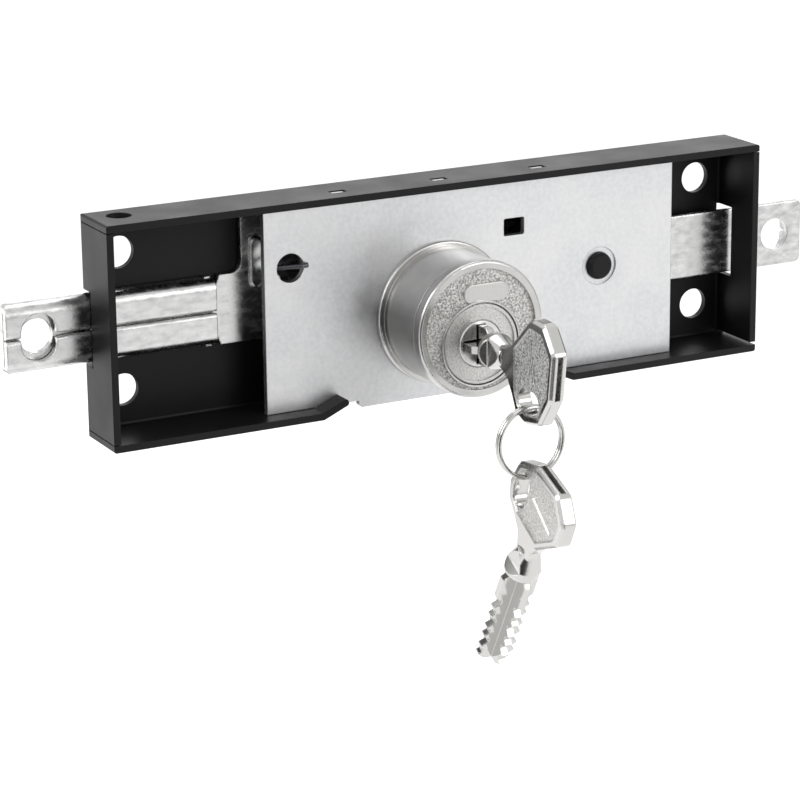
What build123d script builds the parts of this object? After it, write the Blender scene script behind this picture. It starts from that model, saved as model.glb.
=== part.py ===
from build123d import *
import math
import os

# Roller shutter lock: a folded steel tray with two sliding bolts, driven by a pinion
# behind a keyed cylinder, with a key in the lock and a spare key on a split ring.
# Millimetres. +X runs along the case, +Z is up and the open front faces -Y.
# The origin is the middle of the four mounting holes, on the outer face of the back.

# Case
case_length = 155.0
case_height = 47.0
case_depth = 15.0
sheet = 1.5
back_bend_radius = 2.0
inner_bend_radius = 0.5
corner_rounding = 0.5
corner_slit = 0.2
wide_corner_slit = 0.7
mounting_hole_inset_x = 8.0
mounting_hole_inset_z = 9.0
mounting_hole_radius = 3.4
top_hole_radius = 2.6
top_hole_inset = 6.0
top_hole_y = -7.2
cutout_half = 25.0
clamp_bend_x = 30.2
clamp_tip_x = 24.2
clamp_rise = 2.6

# Cover plate
cover_recess = 4.4
cover_left_inset = 36.3
cover_right_inset = 19.9
cover_fit = 0.1
cover_step_half = 19.8
cover_step_drop = 1.5
tab_pitch = 23.8
tab_width = 2.6
tab_slot_width = 3.5
tab_slot_depth = 1.9
tab_below_top = 0.2
spring_hole_inset = 5.9
spring_hole_z = 8.8
spring_hole_radius = 3.1
square_hole_x = 17.8
square_hole_z = 11.3
square_hole_width = 5.0
square_hole_height = 3.8

# Bolts and their slide plates
bolt_reach = 18.25
bolt_height = 14.5
fold_gap = 0.3
seam_gap = 0.3
layer_gap = 0.3
fold_length = 46.25
bolt_hole_radius = 3.6
bolt_hole_inset = 7.0
flap_hole_width = 7.6
flap_hole_height = 10.0
slide_guide_gap = 0.3
slot_clearance_z = 0.7
slot_clearance_y = 0.3
right_slot_clearance_y = 1.7
shoulder_behind_fold = 6.5
neck_step = 0.15
flap_edge_rounding = 0.9
bolt_corner_rounding = 1.5
fold_front_rounding = 2.7
fold_rear_rounding = 0.4

# Pillar between case and cover
pillar_behind_fold = 10.3
pillar_radius = 2.9
pillar_proud = 1.0
pillar_slot_clearance = 0.25
spacer_radius = 4.6

# Rack and pinion
module = 1.0
pinion_teeth = 10
pressure_angle = math.radians(30)
addendum = 0.8
dedendum = 1.05
backlash = 0.2
turn_degrees = 180.0

# Cylinder
body_axis_z = -5.0
plug_axis_z = -8.1
cylinder_proud = 13.0
body_radius = 14.3
bezel_radius = 14.65
base_ring_radius = 15.5
base_ring_thickness = 1.3
bezel_length = 2.4
bezel_groove = 0.8
face_rim = 1.7
face_sink = 0.6
face_plate = 2.0
barrel_radius = 8.75
barrel_fit = 0.1
leg_width = 8.0
leg_top_above_axis = 16.0
plug_radius = 5.05
running_clearance = 0.05
pin_pitch = 2.9
first_pin_behind_face = 3.6
pin_radius = 1.2
pin_clearance = 0.06
driver_pin_length = 4.6
chamber_strip_height = 0.9
chamber_strip_margin = 1.3
chamber_strip_width = 3.2
screw_spread = 11.4
screw_z = -6.5
screw_radius = 1.7
screw_depth = 7.0
screw_head_radius = 2.9
tenon_size = 4.0

# Keys and ring
collar_radius = 3.9
collar_length = 6.8
collar_shoulder_length = 2.6
collar_neck_radius = 2.35
collar_end_rounding = 0.9
collar_flat_from_axis = 2.5
collar_flat_from_end = 2.4
collar_stand_off = 4.5
blade_end_gap = 0.9
blade_height = 8.3
blade_thickness = 1.6
blade_tip_length = 2.4
keyway_gap = 0.12
keyway_side_gap = 0.3
bow_thickness = 3.6
bow_edge_chamfer = 0.6
bow_slot_width = 1.15
bow_corner_radius = 2.4
neck_corner_radius = 1.2
ring_hole_length = 8.2
ring_hole_width = 4.9
ring_hole_from_axis = 6.8
ring_hole_from_collar_end = 17.3
ring_radius = 7.45
ring_wire = 0.9
turn_offset = 0.42
ring_slack = 0.1
spare_key_lean = 28.3
spare_key_twist = 3.0
twist_slack = 0.1

# Detent spring
wire_radius = 0.55

# Derived places
half_length = case_length / 2
half_height = case_height / 2
mounting_spacing_x = case_length - 2 * mounting_hole_inset_x
mounting_spacing_z = case_height - 2 * mounting_hole_inset_z
inner_top = half_height - sheet
cover_front = -case_depth + cover_recess
cover_back = cover_front + sheet
cover_left = -half_length + cover_left_inset
cover_right = half_length - cover_right_inset
spring_hole_x = cover_left + spring_hole_inset
rear_layer_back = -sheet - layer_gap
rear_layer_front = rear_layer_back - sheet
front_layer_back = rear_layer_front - fold_gap
front_layer_front = front_layer_back - sheet
bolt_thickness = rear_layer_back - front_layer_front
bolt_end = half_length + bolt_reach
fold_end = bolt_end - fold_length
slide_shoulder_x = fold_end - shoulder_behind_fold
pillar_x = fold_end - pillar_behind_fold
cover_gap = front_layer_front - cover_back
pitch_radius = module * pinion_teeth / 2
slide_travel = math.radians(turn_degrees) * pitch_radius
face_front = -case_depth - cylinder_proud
pinion_front = front_layer_front - 0.2
pinion_back = rear_layer_back + 0.1
hub_front = pinion_front - 0.275 * cover_gap
plug_back = hub_front - 0.05 * cover_gap
collar_end_y = face_front - collar_stand_off
blade_length = plug_back - blade_end_gap - collar_end_y
keyway_end = collar_end_y + blade_length + 0.3
pin_room = blade_length - blade_tip_length - collar_stand_off - first_pin_behind_face
pin_count = math.floor(pin_room / pin_pitch + 0.01)
slide_edge = inner_top - slide_guide_gap


def box_between(x_low, x_high, y_low, y_high, z_low, z_high):
    size = (x_high - x_low, y_high - y_low, z_high - z_low)
    middle = ((x_low + x_high) / 2, (y_low + y_high) / 2, (z_low + z_high) / 2)
    return Pos(*middle) * Box(*size)


def rod_y(radius, y_low, y_high, x=0.0, z=0.0):
    """A round bar along Y."""
    return Pos(x, (y_low + y_high) / 2, z) * Rot(90, 0, 0) * Cylinder(radius, y_high - y_low)


def rod_x(radius, x_low, x_high, y=0.0, z=0.0):
    """A round bar along X."""
    return Pos((x_low + x_high) / 2, y, z) * Rot(0, 90, 0) * Cylinder(radius, x_high - x_low)


def plate_xy(points, z_low, z_high):
    """A flat plate with its outline given as (x, y) points."""
    face = make_face(Polyline(points, close=True))
    return Pos(0, 0, z_low) * extrude(face, amount=z_high - z_low, dir=(0, 0, 1))


def plate_xz(points, y_low, y_high):
    """A flat plate with its outline given as (x, z) points."""
    outline = Polyline([(x, 0, z) for x, z in points], close=True)
    face = make_face(outline)
    return Pos(0, y_high, 0) * extrude(face, amount=y_high - y_low, dir=(0, -1, 0))


def plate_yz(points, x_low, x_high):
    """A flat plate with its outline given as (y, z) points."""
    outline = Polyline([(0, y, z) for y, z in points], close=True)
    face = make_face(outline)
    return Pos(x_low, 0, 0) * extrude(face, amount=x_high - x_low, dir=(1, 0, 0))


def obround_y(length, width, y_low, y_high, x, z, upright=False):
    """A slot-shaped bar along Y, as long as the slot is end to end."""
    straight = (length - width) / 2
    across = (0, straight) if upright else (straight, 0)
    ends = [rod_y(width / 2, y_low, y_high, x + s * across[0], z + s * across[1]) for s in (-1, 1)]
    half_x = width / 2 if upright else straight
    half_z = straight if upright else width / 2
    middle = box_between(x - half_x, x + half_x, y_low, y_high, z - half_z, z + half_z)
    return ends[0] + middle + ends[1]


def edges_along(solid, axis, wanted):
    """The edges along an axis whose centres pass a test."""
    return [edge for edge in solid.edges().filter_by(axis) if wanted(edge.center())]


# Case

def tray_shell():
    outer = box_between(-half_length, half_length, -case_depth, 0, -half_height, half_height)
    back_edges = outer.faces().sort_by(Axis.Y)[-1].edges()
    outer = fillet(back_edges, back_bend_radius)
    rounded = box_between(-half_length, half_length, -case_depth - 1, 1, -half_height, half_height)
    outer = outer & fillet(rounded.edges().filter_by(Axis.Y), corner_rounding)
    inner = box_between(-half_length + sheet, half_length - sheet, -case_depth - 1, -sheet,
                        -inner_top, inner_top)
    inner_edges = inner.faces().sort_by(Axis.Y)[-1].edges()
    return outer - fillet(inner_edges, inner_bend_radius)


def corner_slits():
    """The open corners, where the end walls stop short of the top and bottom flanges."""
    slits = []
    for side in (-1, 1):
        for level in (-1, 1):
            width = wide_corner_slit if side > 0 > level else corner_slit
            x_pair = sorted((side * (half_length - sheet), side * (half_length + 1)))
            z_pair = sorted((level * (inner_top - width), level * inner_top))
            slits.append(box_between(*x_pair, -case_depth - 1, -back_bend_radius, *z_pair))
    return slits


def bolt_slots():
    """The windows in the end walls and their bends, through which the bolts slide."""
    high = bolt_height / 2 + slot_clearance_z
    left_front = front_layer_front - slot_clearance_y
    right_front = front_layer_front - right_slot_clearance_y
    inside = half_length - back_bend_radius
    outside = half_length + 1
    return [box_between(-outside, -inside, left_front, 1, -high, high),
            box_between(inside, outside, right_front, 1, -high, high)]


def mounting_holes():
    return [rod_y(mounting_hole_radius, -case_depth, 1, side * mounting_spacing_x / 2,
                  level * mounting_spacing_z / 2) for side in (-1, 1) for level in (-1, 1)]


def flange_openings():
    """The tab slots and round hole in the top flange, and the gap in the bottom one."""
    tab_middle = (cover_front + cover_back) / 2
    cuts = [box_between(i * tab_pitch - tab_slot_width / 2, i * tab_pitch + tab_slot_width / 2,
                        tab_middle - tab_slot_depth / 2, tab_middle + tab_slot_depth / 2,
                        inner_top - 1, half_height + 1) for i in (-1, 0, 1)]
    top_hole = Cylinder(top_hole_radius, 3 * sheet)
    cuts.append(Pos(-half_length + top_hole_inset, top_hole_y, half_height) * top_hole)
    cuts.append(box_between(-cutout_half, cutout_half, -case_depth - 1, -back_bend_radius,
                            -half_height - 1, -inner_top + cover_fit))
    cuts.append(box_between(-clamp_bend_x, clamp_bend_x, -case_depth - 1, cover_front,
                            -half_height - 1, -inner_top + cover_fit))
    return cuts


def clamp_tongue(side):
    """The end of a bottom flange, bent up in front of the cover to hold it in."""
    root = clamp_bend_x + 3
    slope = clamp_rise / (clamp_bend_x - clamp_tip_x)
    length = math.hypot(1, slope)
    over_x, over_z = sheet * slope / length, sheet / length
    points = [(root, -half_height), (clamp_bend_x, -half_height), (clamp_tip_x, -half_height + clamp_rise),
              (clamp_tip_x + over_x, -half_height + clamp_rise + over_z),
              (clamp_bend_x + over_x / 2, -inner_top), (root, -inner_top)]
    tongue = plate_xz(points, -case_depth, cover_front - layer_gap)
    bends = edges_along(tongue, Axis.Y, lambda c: clamp_bend_x - 0.1 < c.X < clamp_bend_x + 1)
    tongue = fillet(bends, 1.2)
    tip = edges_along(tongue, Axis.Y, lambda c: c.X < clamp_tip_x + over_x + 0.1)
    tongue = fillet(tip, 0.45 * sheet)
    return tongue if side > 0 else mirror(tongue, about=Plane.YZ)


def make_case():
    bearing = rod_y(pinion_journal_radius() + running_clearance, -sheet - 1, 1, 0, plug_axis_z)
    shell = tray_shell() - corner_slits() - bolt_slots() - mounting_holes()
    shell = shell - flange_openings() - bearing
    return shell + clamp_tongue(-1) + clamp_tongue(1)


def make_case_pillar():
    pillar = rod_y(pillar_radius, cover_front - pillar_proud, -sheet, pillar_x, 0)
    tip = pillar.faces().sort_by(Axis.Y)[0].edges()
    return chamfer(tip, 0.6)


def make_pillar_spacer():
    y_low, y_high = cover_back, front_layer_front - layer_gap
    ring = rod_y(spacer_radius, y_low, y_high, pillar_x, 0)
    return ring - rod_y(pillar_radius + running_clearance, y_low - 1, y_high + 1, pillar_x, 0)


# Cover plate

def cover_sheet():
    top = inner_top - cover_fit
    low = -half_height + cover_step_drop / 2 - cover_fit / 2
    step = -inner_top + cover_fit
    points = [(cover_left, top), (cover_right, top), (cover_right, step), (cover_step_half, step),
              (cover_step_half, -half_height + cover_fit), (-cover_step_half, -half_height + cover_fit),
              (-cover_step_half, step), (cover_left, step)]
    plate = plate_xz(points, cover_front, cover_back)
    corners = edges_along(plate, Axis.Y, lambda c: c.Z < low)
    return fillet(corners, 0.8)


def cover_tabs():
    tab_top = half_height - tab_below_top
    return [box_between(i * tab_pitch - tab_width / 2, i * tab_pitch + tab_width / 2,
                        cover_front, cover_back, inner_top - 1, tab_top) for i in (-1, 0, 1)]


def square_window():
    window = box_between(square_hole_x - square_hole_width / 2, square_hole_x + square_hole_width / 2,
                         cover_front - 1, cover_back + 1,
                         square_hole_z - square_hole_height / 2, square_hole_z + square_hole_height / 2)
    return fillet(window.edges().filter_by(Axis.Y), 0.4)


def make_cover_plate():
    plate = cover_sheet() + cover_tabs()
    low, high = cover_front - 1, cover_back + 1
    plate -= rod_y(spring_hole_radius, low, high, spring_hole_x, spring_hole_z)
    plate -= square_window()
    plate -= rod_y(pillar_radius + 0.1, low, high, pillar_x, 0)
    plate -= rod_y(pillar_radius + 1.3, low, cover_front + 0.4, pillar_x, 0)
    plate -= rod_y(plug_radius + 0.35, low, high, 0, plug_axis_z)
    for side in (-1, 1):
        plate -= rod_y(screw_radius + 0.15, low, high, side * screw_spread, screw_z)
    return plate


# Bolts: each is one stamped sheet, folded double outside and flat inside the case

def folded_bar(openings):
    """The folded part of the left bolt, web at the back and two flaps in front."""
    half = bolt_height / 2
    bar = box_between(-bolt_end, -fold_end, front_layer_front, rear_layer_back, -half, half)
    middle = (front_layer_front + rear_layer_back) / 2
    bar = fillet(edges_along(bar, Axis.X, lambda c: c.Y < middle), fold_front_rounding)
    bar = fillet(edges_along(bar, Axis.X, lambda c: c.Y > rear_layer_back - 0.1), fold_rear_rounding)
    outline = box_between(-bolt_end, -fold_end, front_layer_front - 1, 1, -half, half)
    bar = bar & fillet(edges_along(outline, Axis.Y, lambda c: c.X < -fold_end - 1), bolt_corner_rounding)
    inside = half - bolt_thickness / 2
    bar -= box_between(-bolt_end - 1, -fold_end + 1, front_layer_back, rear_layer_front, -inside, inside)
    bar -= box_between(-bolt_end - 1, -fold_end + 1, front_layer_front - 1, front_layer_back + 0.1,
                       -seam_gap / 2, seam_gap / 2)
    seam = edges_along(bar, Axis.X, lambda c: abs(c.Z) < seam_gap and c.Y < front_layer_front + 0.1)
    return fillet(seam, flap_edge_rounding) - openings


def flap_window():
    """The tall hole in the flaps, in front of the round one."""
    return obround_y(flap_hole_height, flap_hole_width, front_layer_front - 1, rear_layer_front + 0.01,
                     -bolt_end + bolt_hole_inset, 0, upright=True)


def seam_wedge():
    """Where the seam between the flaps widens towards the hole."""
    near = -bolt_end + bolt_hole_inset + flap_hole_width / 2 - 0.5
    far = near + 5.5
    return plate_xz([(near, 0.7), (near, -0.7), (far, -seam_gap / 2), (far, seam_gap / 2)],
                    front_layer_front - 1, rear_layer_front + 0.01)


def neck_relief():
    """The small notches where the folds end and the flat plate begins."""
    half = bolt_height / 2
    cuts = []
    for level in (-1, 1):
        points = [(-fold_end - 0.9, level * (half + 1)), (-fold_end + 1.6, level * (half + 1)),
                  (-fold_end + 1.4, level * half), (-fold_end + 0.5, level * (half - 2.2)),
                  (-fold_end - 0.3, level * (half - 2.2))]
        cuts.append(plate_xz(points, front_layer_front - 1, rear_layer_back + 0.1))
    return cuts


def make_left_bolt():
    half = bolt_height / 2 + neck_step
    rack_end = slide_travel + pitch_radius + 3.4
    shoulder = pitch_radius + 3
    points = [(-fold_end - 2, half), (-slide_shoulder_x, half), (-slide_shoulder_x, slide_edge),
              (rack_end, slide_edge), (rack_end, rack_root_z(1)), (-shoulder, rack_root_z(1)),
              (-shoulder, -half), (-fold_end - 2, -half)]
    plate = plate_xz(points, rear_layer_front, rear_layer_back)
    inner = edges_along(plate, Axis.Y, lambda c: abs(c.X + slide_shoulder_x) < 0.1)
    plate = fillet(inner, 2.5)
    teeth = rack_teeth(1, -pitch_radius, rack_end - module, rear_layer_front, rear_layer_back)
    web = plate + teeth + stiffening_rib()
    web -= detent_slot()
    web -= neck_relief()
    bolt = folded_bar([flap_window(), seam_wedge()]) + web
    return bolt - rod_y(bolt_hole_radius, front_layer_front - 1, 0, -bolt_end + bolt_hole_inset, 0)


def stiffening_rib():
    rib = obround_y(11.0, 3.0, rear_layer_front - 0.9, rear_layer_front + 0.2,
                    -slide_shoulder_x + 3.2, 9.3, upright=True)
    crest = rib.faces().sort_by(Axis.Y)[0].edges()
    return fillet(crest, 0.6)


def detent_slot():
    """The slot that the spring's tip rides in, with a pocket at each end."""
    tip_x, tip_z = spring_tip()
    half = wire_radius + 0.45
    end_x = tip_x + slide_travel
    slot = obround_y(slide_travel + 2 * half, 2 * half, rear_layer_front - 1, 0, (tip_x + end_x) / 2, tip_z)
    pockets = [rod_y(half, rear_layer_front - 1, 0, x, tip_z - 0.5) for x in (tip_x, end_x)]
    return slot + pockets[0] + pockets[1]


def make_right_bolt():
    half = bolt_height / 2 + neck_step
    rack_end = -slide_travel - pitch_radius - 3.4
    shoulder = pitch_radius + 9
    points = [(fold_end + 2, half), (shoulder, half), (shoulder, rack_root_z(-1)),
              (rack_end, rack_root_z(-1)), (rack_end, -slide_edge), (slide_shoulder_x, -slide_edge),
              (slide_shoulder_x, -half), (fold_end + 2, -half)]
    plate = plate_xz(points, front_layer_front, front_layer_back)
    inner = edges_along(plate, Axis.Y, lambda c: abs(c.X - slide_shoulder_x) < 0.1)
    plate = fillet(inner, 2.5)
    teeth = rack_teeth(-1, rack_end + module, pitch_radius, front_layer_front, front_layer_back)
    web = plate + teeth
    web -= pillar_slot()
    web -= [turned_round(cut) for cut in neck_relief()]
    bolt = turned_round(folded_bar([flap_window()])) + web
    return bolt - rod_y(bolt_hole_radius, front_layer_front - 1, 0, bolt_end - bolt_hole_inset, 0)


def turned_round(solid):
    """The left bolt's form turned half round, upright, about the middle of the bolt's thickness."""
    middle = (front_layer_front + rear_layer_back) / 2
    return Pos(0, middle, 0) * Rot(0, 0, 180) * Pos(0, -middle, 0) * solid


def pillar_slot():
    half = pillar_radius + pillar_slot_clearance
    start = pillar_x - slide_travel
    return obround_y(slide_travel + 2 * half, 2 * half, front_layer_front - 1, front_layer_back + 1,
                     (start + pillar_x) / 2, 0)


# Rack and pinion

def rack_root_z(side):
    return plug_axis_z + side * (pitch_radius + dedendum * module)


def rack_teeth(side, x_low, x_high, y_low, y_high):
    """Straight-sided teeth that point at the pinion, with a gap under the plug's axis."""
    pitch = math.pi * module
    half = pitch / 4 - backlash / 2
    root = half + dedendum * module * math.tan(pressure_angle)
    tip = half - addendum * module * math.tan(pressure_angle)
    pitch_z = plug_axis_z + side * pitch_radius
    root_z = pitch_z + side * (dedendum * module + 0.4)
    root_wide = root + 0.4 * math.tan(pressure_angle)
    tip_z = pitch_z - side * addendum * module
    teeth = []
    first = math.ceil((x_low + root) / pitch - 0.5)
    last = math.floor((x_high - root) / pitch - 0.5)
    for index in range(first, last + 1):
        x = (index + 0.5) * pitch
        points = [(x - root_wide, root_z), (x - tip, tip_z), (x + tip, tip_z), (x + root_wide, root_z)]
        teeth.append(plate_xz(points, y_low, y_high))
    return teeth


def involute_angle(radius, base_radius):
    roll = math.acos(base_radius / radius)
    return math.tan(roll) - roll


def pinion_outline():
    base = pitch_radius * math.cos(pressure_angle)
    outer = pitch_radius + addendum * module
    root = pitch_radius - dedendum * module
    half_at_pitch = math.pi / (2 * pinion_teeth) - backlash / (4 * pitch_radius)
    half_at_base = half_at_pitch + involute_angle(pitch_radius, base)
    steps = 5
    flank = [(root, half_at_base)]
    for step in range(steps + 1):
        radius = base + (outer - base) * step / steps
        flank.append((radius, half_at_base - involute_angle(radius, base)))
    tooth = [(radius, -angle) for radius, angle in flank]
    tooth += [(radius, angle) for radius, angle in reversed(flank)]
    points = []
    for index in range(pinion_teeth):
        middle = math.pi / 2 + index * 2 * math.pi / pinion_teeth
        for radius, angle in tooth:
            x = radius * math.cos(middle + angle)
            points.append((x, plug_axis_z + radius * math.sin(middle + angle)))
    return points


def pinion_journal_radius():
    return 3.0 - running_clearance


def tenon(y_low, y_high, size):
    return box_between(-size / 2, size / 2, y_low, y_high, plug_axis_z - size / 2, plug_axis_z + size / 2)


def make_pinion():
    wheel = plate_xz(pinion_outline(), pinion_front, pinion_back)
    hub = rod_y(pitch_radius - dedendum * module, hub_front, pinion_front, 0, plug_axis_z)
    journal = rod_y(pinion_journal_radius(), pinion_back, 0, 0, plug_axis_z)
    socket = tenon(hub_front - 1, pinion_back - 0.4, tenon_size + 0.2)
    return wheel + hub + journal - socket


# Cylinder

def barrel_section(y_low, y_high, extra):
    """The barrel's keyhole-shaped section, a round with a leg for the pins above it."""
    round_part = rod_y(barrel_radius + extra, y_low, y_high, 0, plug_axis_z)
    half = leg_width / 2 + extra
    leg = box_between(-half, half, y_low, y_high, plug_axis_z, plug_axis_z + leg_top_above_axis + extra)
    return round_part + leg


def make_cylinder_body():
    body = rod_y(body_radius, face_front, cover_front, 0, body_axis_z)
    body += rod_y(bezel_radius, face_front, face_front + bezel_length, 0, body_axis_z)
    base = rod_y(base_ring_radius, cover_front - base_ring_thickness, cover_front, 0, body_axis_z)
    body += fillet(base.faces().sort_by(Axis.Y)[0].edges(), 0.5)
    groove = rod_y(base_ring_radius, face_front + bezel_length, face_front + bezel_length + bezel_groove,
                   0, body_axis_z)
    body -= groove - rod_y(body_radius - 0.4, face_front, cover_front, 0, body_axis_z)
    front_edge = body.faces().sort_by(Axis.Y)[0].edges()
    body = fillet(front_edge, 0.6)
    sink = rod_y(bezel_radius - face_rim, face_front - 1, face_front + face_sink, 0, body_axis_z)
    body -= sink - rod_y(barrel_radius + 0.5, face_front - 1, cover_front, 0, plug_axis_z)
    body -= rod_y(barrel_radius + barrel_fit, face_front - 1, cover_front + 1, 0, plug_axis_z)
    body -= barrel_section(face_front + face_plate, cover_front + 1, barrel_fit)
    for side in (-1, 1):
        body -= rod_y(screw_radius, cover_front - screw_depth - 1, cover_front + 1,
                      side * screw_spread, screw_z)
    return body


def pin_places():
    first = face_front + first_pin_behind_face
    return [first + i * pin_pitch for i in range(pin_count)]


def upright_rod(radius, y, low_from_axis, high_from_axis):
    middle = plug_axis_z + (low_from_axis + high_from_axis) / 2
    return Pos(0, y, middle) * Cylinder(radius, high_from_axis - low_from_axis)


def make_barrel():
    barrel = rod_y(barrel_radius, face_front, cover_front, 0, plug_axis_z)
    barrel = chamfer(barrel.faces().sort_by(Axis.Y)[0].edges(), 0.3)
    barrel += barrel_section(face_front + face_plate + barrel_fit, cover_front, 0)
    dish = rod_y(barrel_radius - 0.9, face_front - 1, face_front + 0.4, 0, plug_axis_z)
    barrel -= dish
    barrel -= rod_y(plug_radius + running_clearance, face_front - 1, cover_front + 1, 0, plug_axis_z)
    strip_low = leg_top_above_axis - chamber_strip_height
    for y in pin_places():
        barrel -= upright_rod(pin_radius + pin_clearance, y, 0, strip_low + 0.1)
    strip_front = pin_places()[0] - chamber_strip_margin
    strip_back = pin_places()[-1] + chamber_strip_margin
    half = chamber_strip_width / 2
    barrel -= box_between(-half, half, strip_front, strip_back, plug_axis_z + strip_low,
                          plug_axis_z + leg_top_above_axis + 1)
    return barrel


def make_chamber_strip():
    """The strip pressed into the leg's groove, which closes the pin chambers."""
    strip_low = leg_top_above_axis - chamber_strip_height
    half = chamber_strip_width / 2
    return box_between(-half, half, pin_places()[0] - chamber_strip_margin,
                       pin_places()[-1] + chamber_strip_margin,
                       plug_axis_z + strip_low, plug_axis_z + leg_top_above_axis)


def driver_low():
    return plug_radius + running_clearance + 0.1


def make_driver_pins():
    low = driver_low()
    pins = []
    for y in pin_places():
        pin = upright_rod(pin_radius, y, low, low + driver_pin_length)
        pins.append(chamfer(pin.edges().filter_by(GeomType.CIRCLE), 0.25))
    return Compound(pins)


def make_pin_springs():
    low = driver_low() + driver_pin_length
    high = leg_top_above_axis - chamber_strip_height
    wire = 0.22
    height = high - low - 2 * wire - 0.04
    springs = []
    for y in pin_places():
        path = Helix(pitch=height / 5, height=height, radius=pin_radius - wire - 0.08)
        start = Plane(origin=path @ 0, z_dir=path % 0)
        coil = sweep(start * RegularPolygon(wire, 6), path=path, is_frenet=True)
        springs.append(Pos(0, y, plug_axis_z + low + wire + 0.02) * coil)
    return Compound(springs)


def keyway(y_low, y_high):
    """The cross-shaped way for the key's two crossed blades."""
    half_tall = blade_height / 2 + keyway_gap
    half_thick = blade_thickness / 2 + keyway_side_gap
    upright = box_between(-half_thick, half_thick, y_low, y_high, -half_tall, half_tall)
    level = box_between(-half_tall, half_tall, y_low, y_high, -half_thick, half_thick)
    return Pos(0, 0, plug_axis_z) * (upright + level)


def clip_groove():
    groove = rod_y(plug_radius + 1, clip_front(), clip_front() + clip_width(), 0, plug_axis_z)
    return groove - rod_y(plug_radius - 0.7, clip_front() - 1, clip_front() + 2, 0, plug_axis_z)


def washer_back():
    return cover_back + 0.1 + cover_gap / 8


def clip_front():
    return washer_back() + running_clearance


def clip_width():
    return 0.21 * cover_gap


def make_plug():
    plug = rod_y(plug_radius, face_front + 0.2, plug_back, 0, plug_axis_z)
    plug = chamfer(plug.faces().sort_by(Axis.Y)[0].edges(), 0.25)
    plug -= keyway(face_front - 1, keyway_end)
    plug -= clip_groove()
    for y in pin_places():
        plug -= upright_rod(pin_radius + pin_clearance, y, 0, plug_radius + 1)
    return plug + tenon(plug_back - 0.5, pinion_back - 0.6, tenon_size)


def make_key_pins():
    """Pins with cone tips, held in the plug just clear of the blade's highest ridge."""
    tip_low = blade_height / 2 + 0.1
    pins = []
    for y in pin_places():
        body = upright_rod(pin_radius, y, tip_low, plug_radius - 0.05)
        pins.append(chamfer(body.faces().sort_by(Axis.Z)[0].edges(), 0.5))
    return Compound(pins)


def make_thrust_washer():
    y_low, y_high = cover_back + 0.1, washer_back()
    washer = rod_y(plug_radius + 2.6, y_low, y_high, 0, plug_axis_z)
    return washer - rod_y(plug_radius + running_clearance, y_low - 1, y_high + 1, 0, plug_axis_z)


def make_plug_clip():
    """A spring clip with an open mouth, seated in the plug's groove."""
    y_low, y_high = clip_front() + 0.02, clip_front() + clip_width() - 0.02
    ring = rod_y(plug_radius + 1.7, y_low, y_high, 0, plug_axis_z)
    ring -= rod_y(plug_radius - 0.65, y_low - 1, y_high + 1, 0, plug_axis_z)
    mouth = box_between(-3.2, 3.2, y_low - 1, y_high + 1, plug_axis_z - plug_radius - 3, plug_axis_z - 2)
    return ring - mouth


def make_cylinder_screws():
    screws = []
    for side in (-1, 1):
        x = side * screw_spread
        head_back = cover_back + cover_gap / 2
        head = rod_y(screw_head_radius, cover_back, head_back, x, screw_z)
        head = fillet(head.faces().sort_by(Axis.Y)[-1].edges(), 0.2 * cover_gap)
        shank = rod_y(screw_radius - 0.05, cover_front - screw_depth, cover_back + 0.1 * cover_gap,
                      x, screw_z)
        slot = box_between(x - screw_head_radius, x + screw_head_radius, head_back - 0.22 * cover_gap,
                           head_back + 1, screw_z - 0.4, screw_z + 0.4)
        screws.append(head + shank - slot)
    return Compound(screws)


# Detent spring: one bent wire, hooked through the cover and bearing in the left bolt's slot

def spring_tip():
    return spring_hole_x + 15.3, 2.4


def spring_points():
    front = cover_front - wire_radius - 0.05
    behind = cover_back + wire_radius + 0.15
    deep = (cover_back + front_layer_front) / 2
    tip_x, tip_z = spring_tip()
    left_rim = spring_hole_x - spring_hole_radius
    right_rim = spring_hole_x + spring_hole_radius
    return [(right_rim + 0.6, front, spring_hole_z + 0.4), (right_rim - 0.9, front, spring_hole_z + 0.3),
            (left_rim + 0.1, behind, spring_hole_z - 0.1), (left_rim - 1.3, behind, spring_hole_z - 2.6),
            (left_rim + 1.2, deep, spring_hole_z - 4.4), (tip_x - 5, deep, tip_z + 0.6),
            (tip_x, deep, tip_z), (tip_x, rear_layer_back - 0.05, tip_z)]


def make_detent_spring():
    path = FilletPolyline(*spring_points(), radius=0.9)
    start = Plane(origin=path @ 0, z_dir=path % 0)
    return sweep(start * Circle(wire_radius), path=path)


def make_spring_post():
    """The rivet that the spring bends round, on the back of the cover."""
    corner = spring_points()[3]
    x = corner[0] + wire_radius + 1.45
    z = corner[2] + 0.35
    return rod_y(0.8, cover_back, cover_back + 1.9, x, z)


# Keys: made along +Y from the collar's end at the origin, bow towards -Y

def bow_outline():
    """The bow's corners as (y, z), fuller on the low side where the ring hole is."""
    return [(-5.7, 2.4), (-8.2, 2.8), (-10.7, 4.0), (-18.4, 10.9), (-23.7, 10.6), (-27.7, 5.2),
            (-26.3, -4.8), (-22.0, -10.8), (-16.1, -11.8), (-12.4, -10.4), (-10.8, -7.0), (-8.8, -3.8),
            (-5.7, -2.4)]


def bow_plate(outline, x_low, x_high, corner_radius):
    plate = plate_yz(outline, x_low, x_high)
    plate = fillet(edges_along(plate, Axis.X, lambda c: -12 < c.Y < -8.5), neck_corner_radius)
    return fillet(edges_along(plate, Axis.X, lambda c: c.Y < -12.2), corner_radius)


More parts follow.
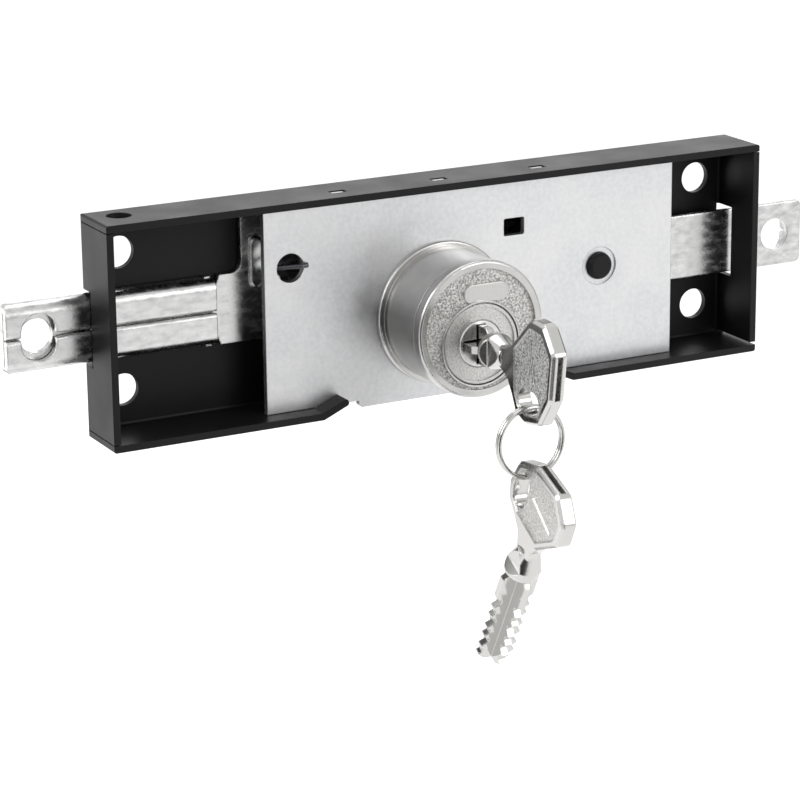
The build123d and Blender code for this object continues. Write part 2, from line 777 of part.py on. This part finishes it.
def key_bow():
    half = bow_thickness / 2
    bow = bow_plate(bow_outline(), -half, half, bow_corner_radius)
    faces = bow.faces().sort_by(Axis.X)
    bow = chamfer(faces[0].edges() + faces[-1].edges(), bow_edge_chamfer)
    for side in (-1, 1):
        bow -= bow_panel(side)
    slot = [(-30, 4.8), (-24.0, 4.8), (-22.8, -4.6), (-30, -4.6)]
    return bow - plate_yz(slot, -bow_slot_width / 2, bow_slot_width / 2)


def bow_panel(side):
    """The sunk panel on one face of the bow, inside its raised rim."""
    shrink = 0.83
    middle_y, middle_z = -18.8, -0.4
    points = [(middle_y + (y - middle_y) * shrink, middle_z + (z - middle_z) * shrink)
              for y, z in bow_outline() if y < -10.5]
    face = bow_thickness / 2
    x_low, x_high = sorted((side * (face - 0.35), side * (face + 1)))
    panel = plate_yz(points, x_low, x_high)
    corners = edges_along(panel, Axis.X, lambda c: c.Y < -12.2)
    return fillet(corners, shrink * bow_corner_radius)


def key_collar():
    """A round boss that tapers to the bow, with a flat behind a slanted step on each side."""
    profile = Polyline((0, 0), (collar_radius, 0), (collar_radius, -collar_shoulder_length),
                       (collar_neck_radius, -collar_length), (0, -collar_length), close=True)
    collar = revolve(make_face(profile), Axis.Y)
    circles = collar.edges().filter_by(GeomType.CIRCLE).sort_by(Axis.Y)
    collar = fillet(circles[-1], collar_end_rounding)
    beyond = collar_radius + 1
    rise = beyond - collar_flat_from_axis
    for side in (-1, 1):
        outline = [(side * collar_flat_from_axis, -collar_flat_from_end),
                   (side * beyond, 0.9 * rise - collar_flat_from_end),
                   (side * beyond, -collar_length - 1), (side * collar_flat_from_axis, -collar_length - 1)]
        collar -= plate_xy(outline, -collar_radius, collar_radius)
    return collar


def cut_depths():
    return [1.3, 0.8, 1.5, 1.0, 1.4, 0.7][:pin_count + 1]


def blade_outline():
    """The blade's double-edged outline, with a V cut for each pin on both edges."""
    half = blade_height / 2
    root_flat = 0.45
    upper = [(-0.6, half - 1.1), (0.2, half - 1.1), (1.3, half)]
    for index, depth in enumerate(cut_depths()):
        y = collar_stand_off + first_pin_behind_face + index * pin_pitch
        flank = depth * 0.72
        upper += [(y - root_flat - flank, half), (y - root_flat, half - depth),
                  (y + root_flat, half - depth), (y + root_flat + flank, half)]
    upper += [(blade_length - blade_tip_length / 2, half), (blade_length, half - 1.6)]
    lower = [(y, -z) for y, z in reversed(upper)]
    return upper + lower


def key_blade():
    """Two crossed blades with the same cuts, so the section is a cross."""
    blade = plate_yz(blade_outline(), -blade_thickness / 2, blade_thickness / 2)
    return blade + Rot(0, 90, 0) * blade


def ring_hole_half():
    """Half the straight run of the ring's slot-shaped hole."""
    return (ring_hole_length - ring_hole_width) / 2


def key_solid():
    y, z = -ring_hole_from_collar_end, -ring_hole_from_axis
    radius = ring_hole_width / 2
    hole = rod_x(radius, -3, 3, y - ring_hole_half(), z)
    hole += rod_x(radius, -3, 3, y + ring_hole_half(), z)
    hole += box_between(-3, 3, y - ring_hole_half(), y + ring_hole_half(), z - radius, z + radius)
    return key_bow() + key_collar() + key_blade() - hole


def wire_rest():
    """How far the middle of the ring's wire sits from the middle of the hole's round end."""
    in_cap = math.sqrt((ring_hole_width / 2 - ring_wire / 2) ** 2 - turn_offset ** 2)
    inner = ring_radius - ring_wire / 2
    lost_to_curve = inner - math.sqrt(inner ** 2 - (bow_thickness / 2) ** 2)
    return in_cap - lost_to_curve - ring_slack


def ring_top():
    """Where the ring's wire passes through the hole of the key in the lock."""
    y = collar_end_y - ring_hole_from_collar_end + ring_hole_half()
    return y, plug_axis_z - ring_hole_from_axis - wire_rest()


def ring_bottom():
    y, z = ring_top()
    return y, z - 2 * ring_radius


def make_key():
    return Pos(0, collar_end_y, plug_axis_z) * key_solid()


def make_key_ring():
    """A split ring of two turns that lie side by side."""
    y, z = ring_top()
    turn = Rot(90, 0, 0) * Torus(ring_radius, ring_wire / 2)
    turns = [Pos(0, y + side * turn_offset, z - ring_radius) * turn for side in (-1, 1)]
    return turns[0] + turns[1]


def make_spare_key():
    """The spare hangs by its ring hole, blade down and leaning towards the wall."""
    turn = Rot(spare_key_lean - 90, 0, 0) * Rot(0, 180 + spare_key_twist, 0)
    hole_end = (0, -ring_hole_from_collar_end - ring_hole_half(), -ring_hole_from_axis)
    turned = (turn * Pos(*hole_end)).position
    y, z = ring_bottom()
    drop = wire_rest() - twist_slack
    return Pos(-turned.X, y - turned.Y, z - drop - turned.Z) * turn * key_solid()


makers = {
    "case": make_case,
    "case_pillar": make_case_pillar,
    "pillar_spacer": make_pillar_spacer,
    "cover_plate": make_cover_plate,
    "left_bolt": make_left_bolt,
    "right_bolt": make_right_bolt,
    "pinion": make_pinion,
    "cylinder_body": make_cylinder_body,
    "barrel": make_barrel,
    "chamber_strip": make_chamber_strip,
    "driver_pins": make_driver_pins,
    "pin_springs": make_pin_springs,
    "plug": make_plug,
    "key_pins": make_key_pins,
    "thrust_washer": make_thrust_washer,
    "plug_clip": make_plug_clip,
    "cylinder_screws": make_cylinder_screws,
    "detent_spring": make_detent_spring,
    "spring_post": make_spring_post,
    "key": make_key,
    "key_ring": make_key_ring,
    "spare_key": make_spare_key,
}

os.makedirs("parts", exist_ok=True)
for name, maker in makers.items():
    export_step(maker(), f"parts/{name}.step")
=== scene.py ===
import bmesh
import bpy
import math
from mathutils import Matrix, Vector


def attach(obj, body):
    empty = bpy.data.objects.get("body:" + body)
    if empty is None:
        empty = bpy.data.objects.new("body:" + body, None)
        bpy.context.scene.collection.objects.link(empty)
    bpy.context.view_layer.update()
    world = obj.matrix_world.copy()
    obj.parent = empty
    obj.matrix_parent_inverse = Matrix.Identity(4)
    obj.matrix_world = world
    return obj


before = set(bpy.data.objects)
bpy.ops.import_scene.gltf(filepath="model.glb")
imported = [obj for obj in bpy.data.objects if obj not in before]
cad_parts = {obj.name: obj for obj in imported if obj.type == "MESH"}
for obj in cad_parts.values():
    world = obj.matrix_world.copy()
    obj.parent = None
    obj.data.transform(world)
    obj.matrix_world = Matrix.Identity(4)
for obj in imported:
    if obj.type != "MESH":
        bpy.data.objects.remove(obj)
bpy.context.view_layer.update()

# Driving sizes, in metres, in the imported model's own frame
mm = 0.001
face_floor = -27.4 * mm
plug_axis_z = -8.1 * mm
collar_end = -32.5 * mm
bow_from_collar_end = 10.5 * mm
panel_depth = 1.45 * mm

# Raised pad on the cylinder's face and raised bars on the bows
bar_base_sink = 0.15 * mm
bar_edge_share = 0.6
pad_length = 10.7 * mm
pad_width = 4.1 * mm
pad_height = 0.3 * mm
pad_place = (1.4 * mm, face_floor, 2.65 * mm)
bow_bar_length = 9.6 * mm
bow_bar_width = 0.7 * mm
bow_bar_height = 0.3 * mm
bow_bar_tilt = math.radians(-10.0)
bow_bar_from_collar = -18.8 * mm
bow_bar_above_blade = 2.3 * mm

# How the spare key hangs
spare_key_lean = math.radians(28.3)
spare_key_twist = math.radians(3.0)
hole_end_in_key = Vector((0, -18.95 * mm, -6.8 * mm))
ring_hang_point = Vector((0, -48.15 * mm, -32.94 * mm))

# Each key's own frame: X through its flat faces, Y along its blade, origin at the collar's end
key_place = Matrix.Translation((0, collar_end, plug_axis_z))
spare_lean = Matrix.Rotation(spare_key_lean - math.pi / 2, 4, "X")
spare_turn = spare_lean @ Matrix.Rotation(math.pi + spare_key_twist, 4, "Y")
spare_place = Matrix.Translation(ring_hang_point - spare_turn @ hole_end_in_key) @ spare_turn

# Picture set-up
camera_place = Vector((-0.303465, -0.567764, 0.162694))
camera_right = Vector((0.88337842, -0.46854732, -0.01029459))
camera_up = Vector((0.14138881, 0.24549707, 0.95903097))
camera_lens = 139.12
floor_height = -0.30
floor_half_size = 3.0
floor_glow = 0.55
soft_light_strength = 0.5


# Shader building blocks

def new_material(name, base_color, metallic, roughness):
    """A material with its tree and shader, whose plain values later links may replace."""
    material = bpy.data.materials.new(name)
    material.use_nodes = True
    shader = material.node_tree.nodes["Principled BSDF"]
    shader.inputs["Base Color"].default_value = (*base_color, 1.0)
    shader.inputs["Metallic"].default_value = metallic
    shader.inputs["Roughness"].default_value = roughness
    return material, material.node_tree, shader


def place_texture(tree, stretch):
    """The object's own coordinates, stretched along each axis."""
    coordinates = tree.nodes.new("ShaderNodeTexCoord")
    mapping = tree.nodes.new("ShaderNodeMapping")
    mapping.inputs["Scale"].default_value = stretch
    tree.links.new(coordinates.outputs["Object"], mapping.inputs["Vector"])
    return mapping.outputs["Vector"]


def noise(tree, size_mm, detail, stretch=(1, 1, 1)):
    """Cloudy noise whose patches are about size_mm across."""
    texture = tree.nodes.new("ShaderNodeTexNoise")
    texture.inputs["Scale"].default_value = 1.0 / (size_mm * mm)
    texture.inputs["Detail"].default_value = detail
    tree.links.new(place_texture(tree, stretch), texture.inputs["Vector"])
    return texture.outputs["Fac"]


def remap(tree, value, from_low, from_high, to_low, to_high):
    """A value moved from one range to another, and held at its ends."""
    node = tree.nodes.new("ShaderNodeMapRange")
    node.inputs["From Min"].default_value = from_low
    node.inputs["From Max"].default_value = from_high
    node.inputs["To Min"].default_value = to_low
    node.inputs["To Max"].default_value = to_high
    tree.links.new(value, node.inputs["Value"])
    return node.outputs["Result"]


def mix_colors(tree, factor, low, high):
    """A colour between two others, either of which may be a socket."""
    node = tree.nodes.new("ShaderNodeMix")
    node.data_type = "RGBA"
    tree.links.new(factor, node.inputs["Factor"])
    for socket, color in (("A", low), ("B", high)):
        target = [s for s in node.inputs if s.name == socket and s.type == "RGBA"][0]
        if isinstance(color, tuple):
            target.default_value = (*color, 1.0)
        else:
            tree.links.new(color, target)
    return [s for s in node.outputs if s.type == "RGBA"][0]


def multiply(tree, first, second):
    """The product of two sockets, or of a socket and a number."""
    node = tree.nodes.new("ShaderNodeMath")
    node.operation = "MULTIPLY"
    for index, value in enumerate((first, second)):
        if isinstance(value, float):
            node.inputs[index].default_value = value
        else:
            tree.links.new(value, node.inputs[index])
    return node.outputs["Value"]


def soft_edge(tree, radius_mm):
    """A normal that rounds off sharp edges by a small radius."""
    node = tree.nodes.new("ShaderNodeBevel")
    node.samples = 4
    node.inputs["Radius"].default_value = radius_mm * mm
    return node.outputs["Normal"]


def bump(tree, height, depth_mm, normal):
    """A normal that follows a height, on top of another normal."""
    node = tree.nodes.new("ShaderNodeBump")
    node.inputs["Distance"].default_value = depth_mm * mm
    node.inputs["Strength"].default_value = 1.0
    tree.links.new(height, node.inputs["Height"])
    tree.links.new(normal, node.inputs["Normal"])
    return node.outputs["Normal"]


def along(tree, direction, start):
    """How far a place lies along a direction from a starting point."""
    coordinates = tree.nodes.new("ShaderNodeTexCoord")
    shifted = tree.nodes.new("ShaderNodeVectorMath")
    shifted.operation = "SUBTRACT"
    shifted.inputs[1].default_value = start
    tree.links.new(coordinates.outputs["Object"], shifted.inputs[0])
    return dot(tree, shifted.outputs["Vector"], direction)


def facing(tree, direction):
    """One on surfaces square to a direction, from either side, and zero on the others."""
    coordinates = tree.nodes.new("ShaderNodeTexCoord")
    size = absolute(tree, dot(tree, coordinates.outputs["Normal"], direction))
    return remap(tree, size, 0.85, 0.95, 0.0, 1.0)


def dot(tree, vector, direction):
    """The length of a vector along a direction."""
    node = tree.nodes.new("ShaderNodeVectorMath")
    node.operation = "DOT_PRODUCT"
    node.inputs[1].default_value = direction
    tree.links.new(vector, node.inputs[0])
    return node.outputs["Value"]


def absolute(tree, value):
    """A value without its sign."""
    node = tree.nodes.new("ShaderNodeMath")
    node.operation = "ABSOLUTE"
    tree.links.new(value, node.inputs[0])
    return node.outputs["Value"]


def within(tree, value, limit_mm, blur_mm):
    """One where a place is nearer to zero than a limit, and zero beyond it."""
    low, high = (limit_mm - blur_mm) * mm, (limit_mm + blur_mm) * mm
    return remap(tree, absolute(tree, value), low, high, 1.0, 0.0)


# Materials

def black_paint():
    """Satin black paint with a faint cloud and a few specks of dust."""
    material, tree, shader = new_material("black_satin_paint", (0.008, 0.008, 0.009), 0.0, 0.42)
    links = tree.links
    shader.inputs["Specular IOR Level"].default_value = 0.22
    cloud = noise(tree, 12.0, 3.0)
    patches = remap(tree, cloud, 0.35, 0.7, 0.0, 1.0)
    color = mix_colors(tree, patches, (0.005, 0.005, 0.006), (0.009, 0.009, 0.010))
    dust = noise(tree, 0.5, 6.0)
    specks = remap(tree, dust, 0.72, 0.78, 0.0, 0.35)
    links.new(mix_colors(tree, specks, color, (0.06, 0.06, 0.06)), shader.inputs["Base Color"])
    links.new(remap(tree, cloud, 0.3, 0.7, 0.40, 0.50), shader.inputs["Roughness"])
    links.new(bump(tree, noise(tree, 0.5, 3.0), 0.008, soft_edge(tree, 0.35)), shader.inputs["Normal"])
    return material


def zinc_sheet():
    """Passivated sheet steel with a fine, pale grain."""
    material, tree, shader = new_material("zinc_sheet", (0.60, 0.61, 0.62), 1.0, 0.40)
    links = tree.links
    patches = remap(tree, noise(tree, 18.0, 4.0), 0.3, 0.7, 0.0, 1.0)
    tint = mix_colors(tree, patches, (0.57, 0.58, 0.60), (0.65, 0.65, 0.65))
    grain = remap(tree, noise(tree, 0.9, 6.0), 0.35, 0.65, 0.0, 1.0)
    half_grain = remap(tree, grain, 0.0, 1.0, 0.0, 0.5)
    color = mix_colors(tree, half_grain, tint, (0.72, 0.72, 0.72))
    links.new(color, shader.inputs["Base Color"])
    links.new(remap(tree, noise(tree, 3.0, 5.0), 0.3, 0.7, 0.36, 0.46), shader.inputs["Roughness"])
    links.new(bump(tree, noise(tree, 0.5, 5.0), 0.006, soft_edge(tree, 0.25)), shader.inputs["Normal"])
    return material


def bright_zinc():
    """Bright plated steel with a mottled sheen."""
    material, tree, shader = new_material("bright_zinc", (0.62, 0.62, 0.62), 1.0, 0.24)
    links = tree.links
    mottle = remap(tree, noise(tree, 1.3, 6.0, stretch=(0.5, 1.0, 1.0)), 0.3, 0.7, 0.0, 1.0)
    color = mix_colors(tree, mottle, (0.44, 0.44, 0.44), (0.70, 0.70, 0.69))
    links.new(color, shader.inputs["Base Color"])
    links.new(remap(tree, mottle, 0.0, 1.0, 0.16, 0.32), shader.inputs["Roughness"])
    waves = bump(tree, noise(tree, 9.0, 2.0), 0.06, soft_edge(tree, 0.45))
    links.new(bump(tree, noise(tree, 0.6, 5.0), 0.008, waves), shader.inputs["Normal"])
    return material


def satin_nickel():
    """The turned side of the cylinder, and the grainy cast ring of its face."""
    material, tree, shader = new_material("satin_nickel", (0.58, 0.575, 0.56), 1.0, 0.26)
    links = tree.links
    rings = noise(tree, 0.35, 3.0, stretch=(0.05, 1.0, 0.05))
    cast = cast_face_mask(tree)
    grain = remap(tree, noise(tree, 0.42, 4.0), 0.35, 0.65, 0.0, 1.0)
    patches = remap(tree, noise(tree, 5.0, 4.0), 0.3, 0.7, 0.0, 1.0)
    turned = mix_colors(tree, patches, (0.46, 0.455, 0.445), (0.54, 0.535, 0.525))
    speckled = mix_colors(tree, grain, (0.24, 0.24, 0.23), (0.72, 0.71, 0.69))
    links.new(mix_colors(tree, cast, turned, speckled), shader.inputs["Base Color"])
    links.new(remap(tree, cast, 0.0, 1.0, 0.24, 0.42), shader.inputs["Roughness"])
    first = bump(tree, rings, 0.004, soft_edge(tree, 0.25))
    links.new(bump(tree, multiply(tree, cast, grain), 0.09, first), shader.inputs["Normal"])
    return material


def cast_face_mask(tree):
    """One on the sunk, grainy ring of the cylinder's face."""
    flat = within(tree, along(tree, (0, 1, 0), (0, face_floor, 0)), 0.12, 0.04)
    return multiply(tree, flat, facing(tree, (0, 1, 0)))


def turned_nickel(name, base_color, roughness):
    """Nickel with faint rings from turning."""
    material, tree, shader = new_material(name, base_color, 1.0, roughness)
    links = tree.links
    rings = noise(tree, 0.5, 3.0, stretch=(1.0, 0.1, 1.0))
    sheen = remap(tree, rings, 0.3, 0.7, roughness - 0.05, roughness + 0.08)
    links.new(sheen, shader.inputs["Roughness"])
    links.new(bump(tree, rings, 0.010, soft_edge(tree, 0.2)), shader.inputs["Normal"])
    return material


def grainy_nickel():
    """Cast nickel with a fine grain, as on the barrel's face."""
    material, tree, shader = new_material("barrel_nickel", (0.54, 0.535, 0.52), 1.0, 0.32)
    links = tree.links
    grain = remap(tree, noise(tree, 0.35, 4.0), 0.35, 0.65, 0.0, 1.0)
    color = mix_colors(tree, grain, (0.42, 0.415, 0.40), (0.62, 0.615, 0.60))
    links.new(color, shader.inputs["Base Color"])
    links.new(remap(tree, grain, 0.0, 1.0, 0.26, 0.40), shader.inputs["Roughness"])
    links.new(bump(tree, grain, 0.035, soft_edge(tree, 0.2)), shader.inputs["Normal"])
    return material


def bow_panel_mask(tree, place):
    """One on the sunk panels of a key's bow."""
    turn = place.to_3x3()
    start = place.translation
    sideways = turn @ Vector((1, 0, 0))
    blade = turn @ Vector((0, 1, 0))
    panel = within(tree, along(tree, sideways, start), panel_depth / mm + 0.12, 0.04)
    bow_end = -bow_from_collar_end
    on_bow = remap(tree, along(tree, blade, start), bow_end, bow_end + 0.3 * mm, 1.0, 0.0)
    return multiply(tree, multiply(tree, panel, on_bow), facing(tree, sideways))


def key_metal(name, place, panel_low, panel_high, grain_depth_mm):
    """Polished nickel with grainy sunk panels in the bow."""
    polished = (0.54, 0.535, 0.52)
    material, tree, shader = new_material(name, polished, 1.0, 0.18)
    links = tree.links
    mask = bow_panel_mask(tree, place)
    grain = remap(tree, noise(tree, 0.45, 4.0), 0.38, 0.62, 0.0, 1.0)
    speckled = mix_colors(tree, grain, panel_low, panel_high)
    links.new(mix_colors(tree, mask, polished, speckled), shader.inputs["Base Color"])
    links.new(remap(tree, mask, 0.0, 1.0, 0.14, 0.38), shader.inputs["Roughness"])
    smooth = soft_edge(tree, 0.4)
    links.new(bump(tree, multiply(tree, mask, grain), grain_depth_mm, smooth), shader.inputs["Normal"])
    return material


def dark_wire():
    """Dark spring steel."""
    material, tree, shader = new_material("dark_spring_wire", (0.10, 0.10, 0.11), 1.0, 0.30)
    links = tree.links
    links.new(remap(tree, noise(tree, 1.0, 4.0), 0.3, 0.7, 0.22, 0.42), shader.inputs["Roughness"])
    return material


def turned_brass():
    """Brass with an uneven sheen."""
    material, tree, shader = new_material("turned_brass", (0.75, 0.60, 0.30), 1.0, 0.28)
    links = tree.links
    links.new(remap(tree, noise(tree, 0.8, 4.0), 0.3, 0.7, 0.22, 0.38), shader.inputs["Roughness"])
    links.new(soft_edge(tree, 0.1), shader.inputs["Normal"])
    return material


def dress_cad_nodes():
    """Give each CAD piece its finish."""
    paint = black_paint()
    sheet = zinc_sheet()
    bright = bright_zinc()
    nickel = satin_nickel()
    ring = turned_nickel("ring_nickel", (0.52, 0.515, 0.50), 0.14)
    brass = turned_brass()
    barrel = grainy_nickel()
    plug = turned_nickel("plug_nickel", (0.62, 0.615, 0.60), 0.30)
    spring = dark_wire()
    # The two keys are alike, so the difference in their panel tones is painted light and shade:
    # darker, wider-spread grain on the key in the lock, paler and flatter grain on the spare
    key = key_metal("key_nickel", key_place, (0.20, 0.20, 0.20), (0.72, 0.72, 0.70), 0.14)
    spare = key_metal("spare_key_nickel", spare_place, (0.42, 0.42, 0.40), (0.64, 0.63, 0.61), 0.06)
    finishes = {
        "case": paint, "case_pillar": paint, "cover_plate": sheet,
        "left_bolt": bright, "right_bolt": bright, "pinion": bright, "pillar_spacer": bright,
        "thrust_washer": bright, "plug_clip": bright, "cylinder_screws": bright,
        "pin_springs": bright, "spring_post": bright, "cylinder_body": nickel,
        "barrel": barrel, "plug": plug, "chamber_strip": brass, "driver_pins": brass,
        "key_pins": brass, "detent_spring": spring, "key_ring": ring,
        "key": key, "spare_key": spare,
    }
    for name, material in finishes.items():
        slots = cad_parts[name].data.materials
        slots.clear()
        slots.append(material)


# Plain raised marks

def bar_outline(length, width, steps=10):
    """The outline of a round-ended bar, lying along the first axis."""
    straight = (length - width) / 2
    points = []
    for end in (1, -1):
        for step in range(steps + 1):
            angle = end * math.pi / 2 - math.pi * step / steps
            points.append((end * straight + width / 2 * math.cos(angle), width / 2 * math.sin(angle)))
    return points


def raised_bar(name, length, width, height, place, body, material):
    """A round-ended bar with a soft top edge; it stands up along its own Z."""
    shape = bmesh.new()
    edge = min(height, width / 2) * bar_edge_share
    layers = [(0.0, -bar_base_sink), (0.0, height - edge),
              (edge * 0.3, height - edge * 0.3), (edge, height)]
    rings = []
    for inset, level in layers:
        outline = bar_outline(length - 2 * inset, width - 2 * inset)
        rings.append([shape.verts.new((x, y, level)) for x, y in outline])
    count = len(rings[0])
    for low, high in zip(rings, rings[1:]):
        for index in range(count):
            after = (index + 1) % count
            shape.faces.new((low[index], low[after], high[after], high[index]))
    shape.faces.new(rings[-1])
    shape.faces.new(list(reversed(rings[0])))
    bmesh.ops.recalc_face_normals(shape, faces=shape.faces)
    bmesh.ops.transform(shape, matrix=place, verts=shape.verts)
    mesh = bpy.data.meshes.new(name)
    shape.to_mesh(mesh)
    shape.free()
    mesh.materials.append(material)
    piece = bpy.data.objects.new(name, mesh)
    bpy.context.scene.collection.objects.link(piece)
    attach(piece, body)


def add_face_pad():
    """The plain pad above the plug, on the cylinder's face."""
    place = Matrix.Translation(pad_place) @ Matrix.Rotation(math.pi / 2, 4, "X")
    metal = turned_nickel("pad_nickel", (0.52, 0.515, 0.50), 0.30)
    raised_bar("face_pad", pad_length, pad_width, pad_height, place, "housing", metal)


def add_bow_bars():
    """A plain raised bar on both sides of each key's bow."""
    metal = turned_nickel("bar_nickel", (0.78, 0.77, 0.75), 0.14)
    for name, key_frame in (("key", key_place), ("spare_key", spare_place)):
        for side in (-1, 1):
            middle = Matrix.Translation((side * panel_depth, bow_bar_from_collar, bow_bar_above_blade))
            tilt = Matrix.Rotation(bow_bar_tilt, 4, "X")
            upright = Matrix.Rotation(side * math.pi / 2, 4, "Y")
            place = key_frame @ middle @ tilt @ upright
            label = f"{name}_bar_{'left' if side < 0 else 'right'}"
            raised_bar(label, bow_bar_length, bow_bar_width, bow_bar_height, place, name,
                       metal)


# Stage

def seen_by_camera_or_mirror(tree):
    """One where the camera, a glossy surface or a clear one looks."""
    path = tree.nodes.new("ShaderNodeLightPath")
    seen = path.outputs["Is Camera Ray"]
    for name in ("Is Glossy Ray", "Is Transmission Ray"):
        joined = tree.nodes.new("ShaderNodeMath")
        joined.operation = "MAXIMUM"
        tree.links.new(seen, joined.inputs[0])
        tree.links.new(path.outputs[name], joined.inputs[1])
        seen = joined.outputs["Value"]
    return seen


def make_world():
    """An even soft light, and plain white wherever the camera or a glossy surface looks."""
    world = bpy.data.worlds.new("studio")
    bpy.context.scene.world = world
    world.use_nodes = True
    tree = world.node_tree
    soft = tree.nodes["Background"]
    soft.inputs["Color"].default_value = (1.0, 1.0, 1.0, 1.0)
    soft.inputs["Strength"].default_value = soft_light_strength
    white = tree.nodes.new("ShaderNodeBackground")
    white.inputs["Color"].default_value = (1.0, 1.0, 1.0, 1.0)
    white.inputs["Strength"].default_value = 1.0
    mix = tree.nodes.new("ShaderNodeMixShader")
    tree.links.new(seen_by_camera_or_mirror(tree), mix.inputs["Fac"])
    tree.links.new(soft.outputs["Background"], mix.inputs[1])
    tree.links.new(white.outputs["Background"], mix.inputs[2])
    tree.links.new(mix.outputs["Shader"], tree.nodes["World Output"].inputs["Surface"])


def stage_sheet(name, corners, material):
    """A flat sheet of the stage, which is no part of the object."""
    mesh = bpy.data.meshes.new(name)
    mesh.from_pydata(corners, [], [tuple(range(len(corners)))])
    mesh.materials.append(material)
    sheet = bpy.data.objects.new(name, mesh)
    bpy.context.scene.collection.objects.link(sheet)
    return sheet


def make_floor():
    """A white floor that keeps the object's shadow."""
    half = floor_half_size
    corners = [(-half, -half, floor_height), (half, -half, floor_height),
               (half, half, floor_height), (-half, half, floor_height)]
    material, tree, shader = new_material("white_floor", (0.90, 0.90, 0.90), 0.0, 0.9)
    shader.inputs["Emission Color"].default_value = (1.0, 1.0, 1.0, 1.0)
    glow = multiply(tree, seen_by_camera_or_mirror(tree), floor_glow)
    tree.links.new(glow, shader.inputs["Emission Strength"])
    stage_sheet("floor", corners, material)


def make_dark_card(name, middle, aim_at, width, height):
    """A black card out of the picture, which gives the metal its dark reflections."""
    material = new_material(name, (0.02, 0.02, 0.02), 0.0, 0.9)[0]
    place = Vector(middle)
    aim = (Vector(aim_at) - place).to_track_quat("Z", "Y").to_matrix()
    across = aim @ Vector((width / 2, 0, 0))
    upward = aim @ Vector((0, height / 2, 0))
    corners = [place - across - upward, place + across - upward,
               place + across + upward, place - across + upward]
    card = stage_sheet(name, [tuple(corner) for corner in corners], material)
    card.visible_camera = False


def make_lamp(name, place, aim, width, height, watts):
    """A rectangular lamp that shines at a point and isn't seen itself."""
    light = bpy.data.lights.new(name, "AREA")
    light.shape = "RECTANGLE"
    light.size = width
    light.size_y = height
    light.energy = watts
    lamp = bpy.data.objects.new(name, light)
    lamp.location = place
    lamp.rotation_euler = (Vector(aim) - Vector(place)).to_track_quat("-Z", "Y").to_euler()
    bpy.context.scene.collection.objects.link(lamp)
    lamp.visible_camera = False


def make_lamps():
    """Three lamps around the front and top, and two low ones behind."""
    make_lamp("left_light", (-1.0, -0.1, 0.6), (0, 0, 0), 0.5, 0.7, 6.0)
    make_lamp("right_light", (0.62, -1.00, 0.36), (0, 0, 0), 0.4, 0.4, 2.2)
    make_lamp("top_light", (0.1, 0.3, 1.1), (0, 0, 0), 0.9, 0.5, 3.0)
    make_lamp("back_right_light", (0.50, 0.90, 0.36), (0, 0, 0), 0.6, 0.3, 0.8)
    make_lamp("back_left_light", (-0.27, 0.28, -0.06), (-0.078, -0.008, 0), 0.12, 0.26, 0.16)


def make_camera():
    """A long lens that looks at the object from its front left and a little above."""
    data = bpy.data.cameras.new("camera")
    data.lens = camera_lens
    data.sensor_width = 36.0
    data.clip_start = 0.01
    data.clip_end = 50.0
    camera = bpy.data.objects.new("camera", data)
    backward = camera_right.cross(camera_up)
    turn = Matrix((camera_right, camera_up, backward)).transposed()
    camera.matrix_world = Matrix.Translation(camera_place) @ turn.to_4x4()
    bpy.context.scene.collection.objects.link(camera)
    bpy.context.scene.camera = camera


make_camera()
make_world()
make_lamps()
make_floor()
make_dark_card("front_card", (-0.21, -0.42, -0.11), (0, 0, 0), 0.52, 0.36)
make_dark_card("key_card", (-0.062, 0.075, -0.046), (0, -0.045, -0.020), 0.07, 0.05)
dress_cad_nodes()
add_face_pad()
add_bow_bars()

bpy.context.scene.view_settings.view_transform = "Standard"
